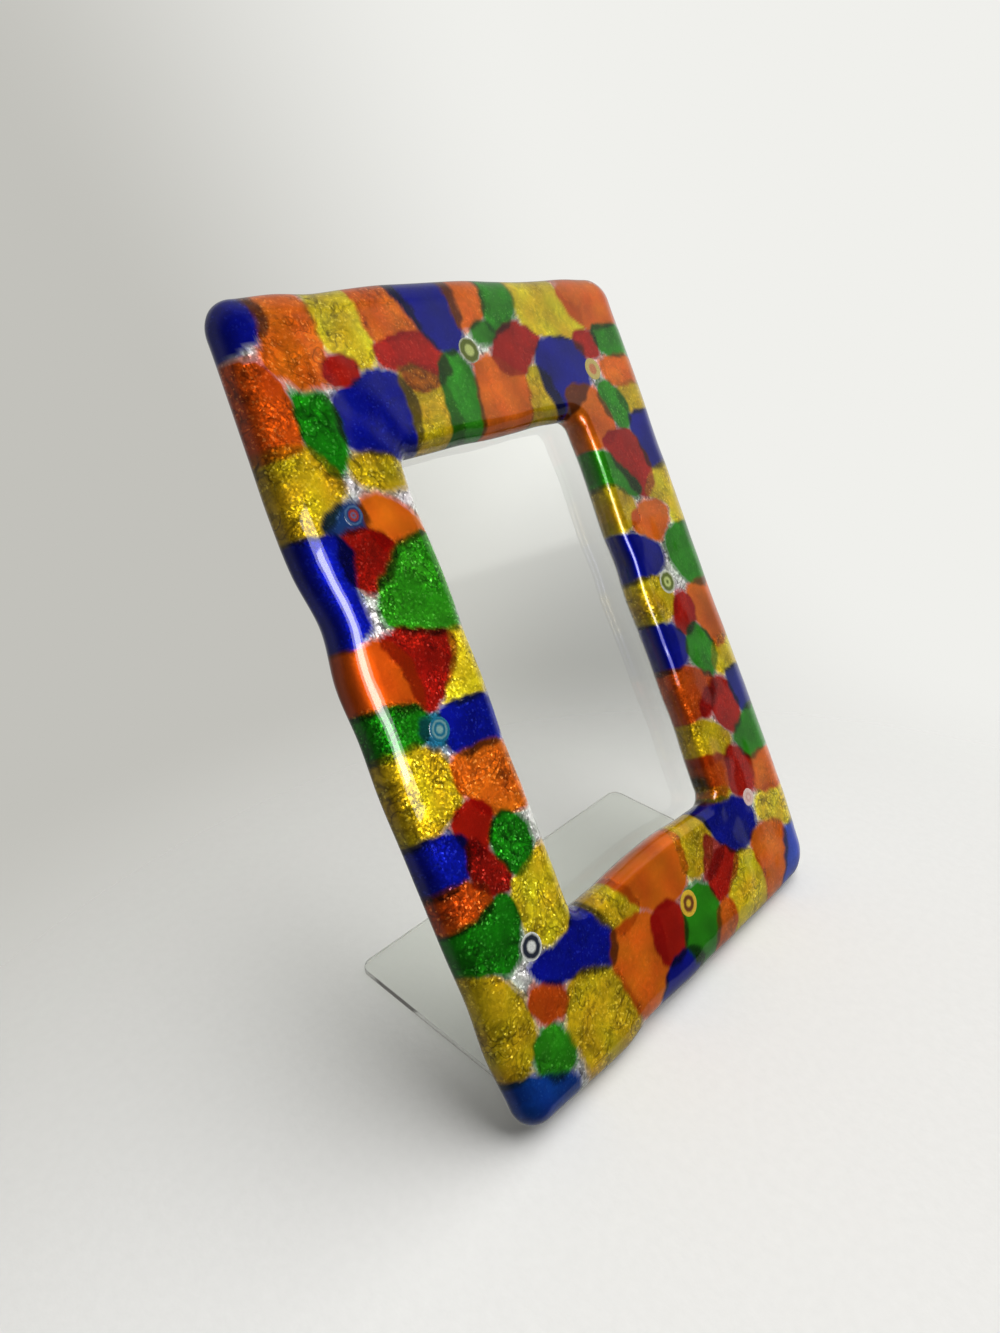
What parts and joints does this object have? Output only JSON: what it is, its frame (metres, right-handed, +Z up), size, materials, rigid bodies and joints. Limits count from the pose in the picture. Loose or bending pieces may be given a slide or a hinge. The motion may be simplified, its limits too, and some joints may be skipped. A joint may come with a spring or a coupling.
{
  "type": "picture frame",
  "caption": "Upright table picture frame of fused mosaic glass with a window opening, leaning on a bent clear acrylic easel with a flat foot.",
  "frame": {"origin": "on the table, at the middle of the easel foot's underside", "axes": "+Z up, +Y to the back, +X to the right as seen from the front"},
  "size_m": [0.1642, 0.1188, 0.2011],
  "materials": {
    "clear_glass": "clear glass over silver leaf, fire polished",
    "orange_glass": "transparent glass over silver leaf, fire polished",
    "red_glass": "transparent glass over silver leaf, fire polished",
    "yellow_glass": "transparent glass over silver leaf, fire polished",
    "green_glass": "transparent glass over silver leaf, fire polished",
    "blue_glass": "transparent glass over silver leaf, fire polished",
    "cane_glass": "patterned cane slice, fire polished",
    "clear_acrylic": "clear, polished",
    "clear_adhesive": "clear, soft"
  },
  "bodies": {
    "root": {"easel": "clear_acrylic", "glass_base": "clear_glass", "murrina_bottom_1": "cane_glass", "murrina_bottom_2": "cane_glass", "murrina_left_1": "cane_glass", "murrina_left_2": "cane_glass", "murrina_right_1": "cane_glass", "murrina_top_1": "cane_glass", "strip_bottom": "clear_adhesive", "strip_left": "clear_adhesive", "strip_right": "clear_adhesive", "tessera_bottom_10_blue": "blue_glass", "tessera_bottom_11_blue": "blue_glass", "tessera_bottom_1_yellow": "yellow_glass", "tessera_bottom_2_yellow": "yellow_glass", "tessera_bottom_3_orange": "orange_glass", "tessera_bottom_4_orange": "orange_glass", "tessera_bottom_5_green": "green_glass", "tessera_bottom_6_yellow": "yellow_glass", "tessera_bottom_7_orange": "orange_glass", "tessera_bottom_8_blue": "blue_glass", "tessera_bottom_9_blue": "blue_glass", "tessera_left_10_orange": "orange_glass", "tessera_left_11_blue": "blue_glass", "tessera_left_12_yellow": "yellow_glass", "tessera_left_13_green": "green_glass", "tessera_left_14_green": "green_glass", "tessera_left_15_blue": "blue_glass", "tessera_left_1_orange": "orange_glass", "tessera_left_2_yellow": "yellow_glass", "tessera_left_3_green": "green_glass", "tessera_left_4_orange": "orange_glass", "tessera_left_5_blue": "blue_glass", "tessera_left_6_green": "green_glass", "tessera_left_7_orange": "orange_glass", "tessera_left_8_red": "red_glass", "tessera_left_9_yellow": "yellow_glass", "tessera_right_10_blue": "blue_glass", "tessera_right_11_green": "green_glass", "tessera_right_1_green": "green_glass", "tessera_right_2_red": "red_glass", "tessera_right_3_blue": "blue_glass", "tessera_right_4_orange": "orange_glass", "tessera_right_5_blue": "blue_glass", "tessera_right_6_green": "green_glass", "tessera_right_7_yellow": "yellow_glass", "tessera_right_8_orange": "orange_glass", "tessera_right_9_orange": "orange_glass", "tessera_top_10_blue": "blue_glass", "tessera_top_11_blue": "blue_glass", "tessera_top_12_blue": "blue_glass", "tessera_top_1_orange": "orange_glass", "tessera_top_2_yellow": "yellow_glass", "tessera_top_3_green": "green_glass", "tessera_top_4_yellow": "yellow_glass", "tessera_top_5_orange": "orange_glass", "tessera_top_6_yellow": "yellow_glass", "tessera_top_7_orange": "orange_glass", "tessera_top_8_red": "red_glass", "tessera_top_9_blue": "blue_glass"}
  },
  "joints": []
}
